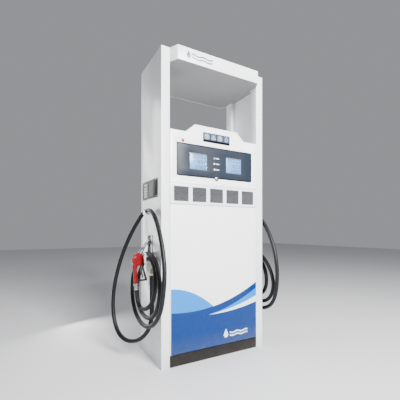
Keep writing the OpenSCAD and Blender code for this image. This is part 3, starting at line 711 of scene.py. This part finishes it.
def ribbed_sleeve(name, path):
    """A moulded bend guard over the end of a hose: ribs that get thinner away from the fitting."""
    rings = []
    for i in range(len(path) - 1):
        ahead = path[i + 1] - path[i]
        radius = HOSE_DIAMETER / 2 + 0.0022 - 0.0018 * i / (len(path) - 1)
        for part in (0.0, 0.5):
            centre = path[i] + ahead * (part + 0.25)
            rings.append(rod("rib", centre - ahead * 0.17, centre + ahead * 0.17, radius, 24, 0.0005, 1))
    return settle(joined(name, rings), 40)


# ---------------------------------------------------------------- cabinet
SHEET_NODES = {
    "left_column": ("white", 0.0012), "right_column": ("white", 0.0012), "canopy": ("canopy", 0.0012),
    "canopy_soffit": ("soffit", 0.0008), "front_fascia": ("head", 0.0007), "rear_fascia": ("head", 0.0007),
    "head_cover": ("head", 0.0007), "vent_frames": ("vent", 0.0007), "kick_plates": ("plinth", 0.001),
    "front_door": ("front_door", 0.0012), "rear_door": ("rear_door", 0.0012),
    "base_frame": ("zinc", 0.001), "divider_trays": ("zinc", 0.0006), "hinge_pins": ("turned", 0.0006),
    "pump_unit": ("pump", 0.003), "pump_pulley": ("iron", 0.0008), "motor_pulley": ("iron", 0.0008),
    "drive_belt": ("belt", 0.0006), "inlet_pipe": ("zinc", 0.001), "delivery_pipes": ("turned", 0.0),
    "controller_box": ("zinc", 0.002), "display_boards": ("card", 0.0006), "holsters": ("steel", 0.0008),
    "left_boot_lever": ("dark", 0.001), "right_boot_lever": ("dark", 0.001),
    "keypad_bezels": ("black", 0.0012),
    "hose_hooks": ("white", 0.0012), "panel_screws": ("turned", 0.0008), "left_spout": ("turned", 0.0005),
    "right_spout": ("turned", 0.0005)}


def finish_sheet_metal():
    for node, (material, bevel) in SHEET_NODES.items():
        refined(node, material, bevel)
    across, up = Vector((1, 0, 0)), Vector((0, 0, 1))
    window_cuts = [(across, sign * READOUT_X + edge * READOUT_W / 2) for sign in (-1, 1) for edge in (-1, 1)]
    window_cuts += [(up, READOUT_Z + edge * READOUT_H / 2) for edge in (-1, 1)]
    window_cuts.append((across, 0))
    for face in ("front", "rear"):
        refined(face + "_display_door", "display", 0.0009, cuts=window_cuts)
    for side in SIDES:
        for number in range(1, 6):
            refined(side + "_key_" + str(number), "key", 0.0014, 3)


def add_vent_meshes():
    """Woven wire behind each vent opening, front and rear."""
    step = 0.146
    rows = []
    for cell in range(5):
        bpy.ops.object.select_all(action="DESELECT")
        bpy.ops.mesh.primitive_grid_add(
            x_subdivisions=32, y_subdivisions=29, size=1, rotation=(math.pi / 2, 0, 0),
            location=((cell - 2) * step, VENT_LOW.y + 0.0006, (VENT_LOW.z + VENT_HIGH.z) / 2))
        bpy.context.object.scale = (0.124, VENT_HIGH.z - VENT_LOW.z - 0.003, 1)
        rows.append(started("wire"))
    mesh = joined("front_vent_mesh", rows)
    applied(mesh, "WIREFRAME", thickness=0.0022, use_even_offset=False)
    settle(mesh)
    rear = turned(mesh, "rear_vent_mesh")
    for piece in (mesh, rear):
        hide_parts("vent_meshes")
        keep(piece, "wire", "cabinet")


def on_both_faces(front, material, body, node=None):
    """Keeps a front piece and its turned copy at the rear; body may name a part of each face."""
    rear = turned(front, front.name.replace("front", "rear"))
    for piece, face in ((front, "front"), (rear, "rear")):
        if node:
            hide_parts(node.replace("front", face))
        keep(piece, material, body.replace("front", face))


# ---------------------------------------------------------------- display head
DIGIT_BARS = {"0": "abcdef", "1": "bc", "2": "abged", "3": "abgcd", "4": "fgbc", "5": "afgcd",
              "6": "afgedc", "7": "abc", "8": "abcdefg", "9": "abcdfg"}
READOUT_X = 0.155
READOUT_W = 0.143
READOUT_H = 0.119
WINDOW_FIT = 0.0002
READOUT_Z = (BOARD_LOW.z + BOARD_HIGH.z) / 2
SCREEN_Y = DISPLAY_LOW.y + 0.0095


def digit(character, x, z, width, height):
    """One seven-bar figure on the front screen, with x at its left edge and z at its middle."""
    bar = 0.0052
    half = height / 2
    spots = {"a": (x, z + half - bar, x + width, z + half), "d": (x, z - half, x + width, z - half + bar),
             "g": (x, z - bar / 2, x + width, z + bar / 2),
             "b": (x + width - bar, z + 0.001, x + width, z + half - 0.001),
             "c": (x + width - bar, z - half + 0.001, x + width, z - 0.001),
             "e": (x, z - half + 0.001, x + bar, z - 0.001), "f": (x, z + 0.001, x + bar, z + half - 0.001)}
    bars = []
    for key in DIGIT_BARS[character]:
        left, low, right, high = spots[key]
        bars.append(block("bar", (left, SCREEN_Y - 0.0005, low), (right, SCREEN_Y + 0.0004, high), 0.0002, 1))
    return bars


def add_readouts():
    """Backlit screens behind the windows, three rows of figures on each, clear lenses in the door, and a dark
    strip of painted shadow inside the top of each window.
    """
    top, foot = READOUT_Z + READOUT_H / 2, READOUT_Z - READOUT_H / 2
    for number, middle in ((1, -READOUT_X), (2, READOUT_X)):
        window_left = middle - READOUT_W / 2 + WINDOW_FIT
        window_right = middle + READOUT_W / 2 - WINDOW_FIT
        half_w, half_h = READOUT_W / 2 + 0.007, READOUT_H / 2 + 0.007
        screen = block("front_screen_" + str(number), (middle - half_w, SCREEN_Y, READOUT_Z - half_h),
                       (middle + half_w, BOARD_LOW.y + 0.001, READOUT_Z + half_h), 0.0008)
        on_both_faces(settle(screen), "readout", "cabinet")
        bars = []
        for text, up in (("35552", 0.036), ("17893", -0.002), ("2980", -0.040)):
            for place, character in enumerate(reversed(text)):
                left = middle + READOUT_W / 2 - 0.024 - place * 0.0235
                bars += digit(character, left, READOUT_Z + up, 0.0185, 0.029)
        figures = settle(joined("front_figures_" + str(number), bars))
        on_both_faces(figures, "digit", "cabinet")
        lens = block("front_lens_" + str(number),
                     (window_left, DISPLAY_LOW.y + 0.0022, foot + WINDOW_FIT),
                     (window_right, DISPLAY_LOW.y + 0.0034, top - WINDOW_FIT), 0.0003)
        on_both_faces(settle(lens), "pane", "front_display_door")
        # Painted shadow: a dark strip inside the top of each window, standing in for the shade the window's
        # edge casts on the screen.
        painted_shadow_strip = block("front_window_hood_" + str(number),
                     (window_left, DISPLAY_LOW.y + 0.0036, top - 0.0055),
                     (window_right, DISPLAY_LOW.y + 0.0060, top - WINDOW_FIT), 0.0005)
        on_both_faces(settle(painted_shadow_strip), "dark", "front_display_door")


def add_row_signs():
    """Three plain signs between the readouts: a coin, a drop and a tag, each with short dashes."""
    face = DISPLAY_LOW.y
    parts = []
    for up, kind in ((0.037, "coin"), (-0.004, "drop"), (-0.046, "tag")):
        z = READOUT_Z + up
        if kind == "coin":
            parts.append(ring("coin", (-0.022, face, z), (0, 1, 0), 0.0055, 0.0010, 24))
        elif kind == "drop":
            outline = []
            for k in range(16):
                a = math.pi * k / 8
                reach = 0.008 if math.cos(a) > 0.9 else 0.006
                across = -0.022 + 0.006 * math.sin(a) * (1 - 0.25 * math.cos(a))
                outline.append((across, z + reach * math.cos(a)))
            parts.append(outlined("drop", outline, face - 0.0005, 0.001))
        else:
            parts.append(outlined("tag", [(-0.029, z), (-0.024, z + 0.006), (-0.015, z + 0.006),
                                          (-0.015, z - 0.006), (-0.024, z - 0.006)], face - 0.0005, 0.001))
        for dash in range(3):
            left = -0.010 + dash * 0.0105
            parts.append(block("dash", (left, face - 0.0005, z - 0.0032),
                               (left + 0.0085, face + 0.0005, z + 0.0032), 0.0002, 1))
    on_both_faces(settle(joined("front_row_signs", parts)), "ink", "front_display_door")


def add_lock():
    """A round cam lock with a raised lip, and a dark slot for its key."""
    refined("front_lock", "lock", 0.0008)
    refined("rear_lock", "lock", 0.0008)
    centre = Vector((0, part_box("front_lock")[0].y, 1.331))
    lip = settle(ring("front_lock_lip", centre, (0, 1, 0), 0.0102, 0.0010, 40))
    on_both_faces(lip, "lock", "front_lock")
    slot = block("front_key_slot", centre + Vector((-0.001, -0.0003, -0.0045)),
                 centre + Vector((0.001, 0.001, 0.0045)), 0.0003)
    on_both_faces(settle(slot), "dark", "front_lock")


def add_lamp():
    """A red dome in a thin dark ring."""
    low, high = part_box("indicator_lamps")
    at = Vector((low.x + 0.012, low.y, (low.z + high.z) / 2))
    dome = ball("front_lamp", at + Vector((0, 0.0062, 0)), (0.0108, 0.0062, 0.0108))
    on_both_faces(settle(dome, 60), "lamp", "cabinet", "indicator_lamps")
    collar = settle(ring("front_lamp_collar", at + Vector((0, 0.0068, 0)), (0, 1, 0), 0.0108, 0.0012, 40))
    on_both_faces(collar, "dark", "cabinet")


def add_pictograms():
    """Four tiles on a black strip, each with a plain warning sign."""
    refined("pictogram_plates", "black", 0.0006)
    face = STRIP_LOW.y
    middle = (STRIP_LOW.z + STRIP_HIGH.z) / 2 + 0.006
    tiles, signs = [], []
    for number in range(4):
        x = (number - 1.5) * 0.057
        tiles.append(block("tile", (x - 0.0258, face - 0.0006, middle - 0.024),
                           (x + 0.0258, face + 0.0006, middle + 0.024),
                           0.0004, 1))
        spot = Vector((x, face - 0.0006, middle))
        if number in (0, 2):
            signs.append(ring("circle", spot, (0, 1, 0), 0.0175, 0.0011, 32))
            signs.append(slash(spot, 0.017, 45 if number else -45, 0.0022))
            signs.append(slash(spot, 0.011, -20 if number else 12, 0.0030))
        elif number == 1:
            for turn in (0, 120, 240):
                corner = math.radians(turn)
                edge = spot + Vector((math.sin(corner) * 0.0095, 0, -math.cos(corner) * 0.0095 - 0.003))
                signs.append(slash(edge, 0.0165, 90 - turn, 0.0020))
            signs.append(slash(spot + Vector((0, 0, -0.001)), 0.006, 0, 0.0022))
        else:
            signs.append(ring("circle", spot + Vector((0, 0, -0.004)), (0, 1, 0), 0.011, 0.0011, 32))
            signs.append(slash(spot + Vector((0, 0, 0.012)), 0.007, 0, 0.0022))
    on_both_faces(settle(joined("front_tiles", tiles)), "tile", "cabinet")
    on_both_faces(settle(joined("front_signs", signs)), "ink", "cabinet")


def slash(centre, half, degrees, width):
    """A thin bar on the front face, leaning that far from upright."""
    bpy.ops.object.select_all(action="DESELECT")
    bpy.ops.mesh.primitive_cube_add(size=1, location=centre, rotation=(0, math.radians(degrees), 0))
    bpy.context.object.scale = (width, 0.0010, 2 * half)
    return rounded(started("slash"), 0.0002, 1)


# ---------------------------------------------------------------- side walls
def on_both_sides(left, material, body, node=None):
    """Keeps a left-hand piece and its mirrored copy at the right."""
    right = mirrored(left, left.name.replace("left", "right"))
    for piece, side in ((left, "left"), (right, "right")):
        if node:
            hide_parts(node.replace("left", side))
        keep(piece, material, body.replace("left", side))


def left_at(out, z):
    """X and Z on the left wall, from the distance out of it and the height."""
    return (-WALL - out, z)


def add_keypad_screen():
    """The small glossy screen beside the keys."""
    out = WALL + 0.0042
    pane = block("left_keypad_screen", (-out - 0.0004, -0.131, 1.1915),
                 (-out + 0.0004, 0.0365, 1.3025), 0.0003)
    on_both_sides(settle(pane), "black", "cabinet")


def cross_rod(name, out, height, half, radius, *shape):
    """A rod across the left nozzle, reaching half its length to each side of the nozzle's middle."""
    start, end = (-WALL - out, NOZZLE_Y - half, height), (-WALL - out, NOZZLE_Y + half, height)
    return rod(name, start, end, radius, *shape)


def add_nozzle():
    """Red valve body and grip melted into one casting, with the black guard, lever, spring and collar."""
    half = 0.017
    outline = [(0.063, 0.690), (0.125, 0.690), (0.133, 0.713), (0.133, 0.743),
               (0.103, 0.782), (0.092, 0.786), (0.049, 0.761), (0.049, 0.715)]
    body = outlined("valve", [left_at(*point) for point in outline], NOZZLE_Y - half, 2 * half)
    foot, top = Vector((-WALL - 0.103, NOZZLE_Y, 0.560)), Vector((-WALL - 0.115, NOZZLE_Y, 0.700))
    grip = rod("grip", foot, top, 0.015, 40, 0.003)
    swell = ball("swell", foot.lerp(top, 0.55), (0.0145, 0.0165, 0.045))
    cap = cross_rod("cap", 0.108, 0.735, 0.019, 0.019, 40, 0.003)
    shell = cast("left_nozzle_shell", [body, grip, swell, cap], 0.0016, 5)
    on_both_sides(shell, "red", "left_nozzle", "left_nozzle")
    outline = [(0.054, 0.702), (0.0205, 0.587), (0.0225, 0.5745), (0.100, 0.5745),
               (0.100, 0.5865), (0.035, 0.5865), (0.065, 0.694), (0.066, 0.702)]
    guard = outlined("guard", [left_at(*point) for point in outline], NOZZLE_Y - 0.007, 0.014)
    guard = cast("left_hand_guard", [guard], 0.0012, 3)
    on_both_sides(guard, "dark", "left_nozzle")
    hub = rod("left_grip_foot", foot + Vector((0.0011, 0, -0.0128)), foot + Vector((0, 0, 0.001)),
              0.0086, 32, 0.0008)
    on_both_sides(settle(hub), "turned", "left_nozzle")
    add_trigger()
    add_spring()
    add_swivel(foot, (foot - top).normalized())


def add_trigger():
    """The squeeze lever, with a rounded finger rest and its pin."""
    outline = [(0.0685, 0.699), (0.0795, 0.699), (0.0565, 0.600), (0.0485, 0.600)]
    lever = outlined("lever", [left_at(*point) for point in outline], NOZZLE_Y - 0.005, 0.010)
    hub = cross_rod("hub", 0.074, 0.700, 0.005, 0.0078, 32)
    toe = cross_rod("toe", 0.0525, 0.6015, 0.0048, 0.0048, 24)
    pin = cross_rod("pin", 0.074, 0.700, 0.0168, 0.0029, 24)
    piece = cast("left_trigger_lever", [lever, hub, toe, pin], 0.0009, 3)
    on_both_sides(piece, "dark", "left_trigger", "left_trigger")


def add_spring():
    """A coil spring round the root of the spout, as separate turns of wire."""
    root = Vector((-WALL - 0.072, NOZZLE_Y, 0.7759))
    ahead = Vector((0.5, 0, 0.866))
    turns = [ring("turn", root + ahead * (0.013 + 0.0034 * k), ahead, 0.0122, 0.0012) for k in range(13)]
    on_both_sides(settle(joined("left_spout_spring", turns), 60), "steel", "left_nozzle")


def add_swivel(foot, down):
    """Two turned collars on a neck, with a knurled ring, under the grip."""
    start = foot + down * 0.0005
    rings = [rod("upper", start, foot + down * 0.0144, 0.0170, 40, 0.0012),
             rod("neck", foot + down * 0.012, foot + down * 0.044, 0.0138, 40, 0.0008),
             rod("lower", foot + down * 0.0262, foot + down * 0.0458, 0.0178, 8, 0.0010)]
    knurls = [ring("knurl", foot + down * (0.003 + 0.0028 * k), down, 0.0166, 0.0007, 40) for k in range(4)]
    piece = settle(joined("left_swivel_collar", rings + knurls))
    on_both_sides(piece, "turned", "left_swivel", "left_swivel")


def add_outlet():
    """Elbow with a six-sided nut at the wall and another where the hose leaves."""
    refined("outlet_fittings", "brass", 0.0006)
    y = -0.115
    wall_nut = rod("wall_nut", (-WALL - 0.0005, y, 0.672), (-WALL - 0.0115, y, 0.672), 0.0262, 6, 0.0010)
    hose_nut = rod("hose_nut", (-WALL - 0.032, y, 0.652), (-WALL - 0.032, y, 0.634), 0.0205, 6, 0.0010)
    nuts = settle(joined("left_outlet_nuts", [wall_nut, hose_nut]))
    on_both_sides(nuts, "turned", "cabinet")


def add_holster_lining():
    """A moulded lip round the holster's mouth."""
    low, high = -0.006, 0.050
    bars = [block("lip", (-WALL - 0.0055, low - 0.006, 0.779), (-WALL - 0.0028, low, 0.911), 0.0012),
            block("lip", (-WALL - 0.0055, high, 0.779), (-WALL - 0.0028, high + 0.006, 0.911), 0.0012),
            block("lip", (-WALL - 0.0055, low - 0.006, 0.905), (-WALL - 0.0028, high + 0.006, 0.911), 0.0012),
            block("lip", (-WALL - 0.0055, low - 0.006, 0.779), (-WALL - 0.0028, high + 0.006, 0.785), 0.0012)]
    on_both_sides(settle(joined("left_holster_lip", bars)), "dark", "cabinet")


# ---------------------------------------------------------------- behind the lower doors
def add_motor():
    """Cooling fins round the motor, over its own block and foot."""
    refined("motor", "motor", 0.002)
    fins = [rod("fin", (0.150, y, 0.170), (0.150, y + 0.002, 0.170), 0.0835, 64, 0.0005, 1)
            for y in [-0.080 + 0.0125 * k for k in range(16)]]
    keep(settle(joined("motor_fins", fins)), "motor", "cabinet")


def add_meters():
    """Meters and valves, with bolted covers and coil nuts."""
    refined("flow_meters", "meter", 0.003)
    refined("solenoid_valves", "black", 0.001)
    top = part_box("flow_meters")[1].z
    bolts = []
    for turn in range(8):
        angle = 2 * math.pi * turn / 8
        x, y = -0.260 + 0.046 * math.cos(angle), 0.060 + 0.046 * math.sin(angle)
        bolts.append(rod("bolt", (x, y, top - 0.001), (x, y, top + 0.004), 0.005, 6, 0.0005, 1))
    on_both_sides(settle(joined("left_meter_bolts", bolts)), "zinc", "cabinet")


# ---------------------------------------------------------------- studio
def add_studio():
    """A pale floor, with soft lamps in front, behind the left wall's edge and above."""
    bpy.ops.object.select_all(action="DESELECT")
    bpy.ops.mesh.primitive_plane_add(size=30, location=(0, 0, 0))
    floor = started("studio_floor")
    finish = Finish("studio_floor", srgb(207, 207, 209), 0.8, specular_ior_level=0.2)
    finish.set("Base Color", finish.blend(finish.noise(0.6), srgb(204, 204, 206), srgb(210, 210, 212)))
    floor.data.materials.append(finish.material)
    world = bpy.data.worlds.new("studio")
    world.use_nodes = True
    world.node_tree.nodes["Background"].inputs["Color"].default_value = (0.93, 0.95, 1.0, 1)
    world.node_tree.nodes["Background"].inputs["Strength"].default_value = 0.34
    bpy.context.scene.world = world
    for name, place, aim, width, height, power in (
            ("front_light", (0.2, -4.6, 3.4), (0.1, 0, 1.2), 1.8, 1.8, 1050),
            ("side_strip", (-0.84, 1.20, 1.30), (-0.44, 0.10, 1.30), 0.3, 2.4, 28),
            ("top_light", (0.4, -0.6, 5.2), (0, 0, 1.2), 2.0, 2.0, 80)):
        lamp = bpy.data.lights.new(name, "AREA")
        lamp.shape = "RECTANGLE"
        lamp.energy = power
        lamp.size = width
        lamp.size_y = height
        holder = bpy.data.objects.new(name, lamp)
        holder.location = place
        holder.rotation_euler = (Vector(aim) - Vector(place)).to_track_quat("-Z", "Y").to_euler()
        holder.visible_camera = False
        bpy.context.collection.objects.link(holder)


# ---------------------------------------------------------------- build
add_camera()
for side in SIDES:
    add_hose(side)
finish_sheet_metal()
add_vent_meshes()
add_readouts()
add_row_signs()
add_lock()
add_lamp()
add_pictograms()
add_keypad_screen()
add_nozzle()
add_outlet()
add_holster_lining()
add_motor()
add_meters()
add_studio()
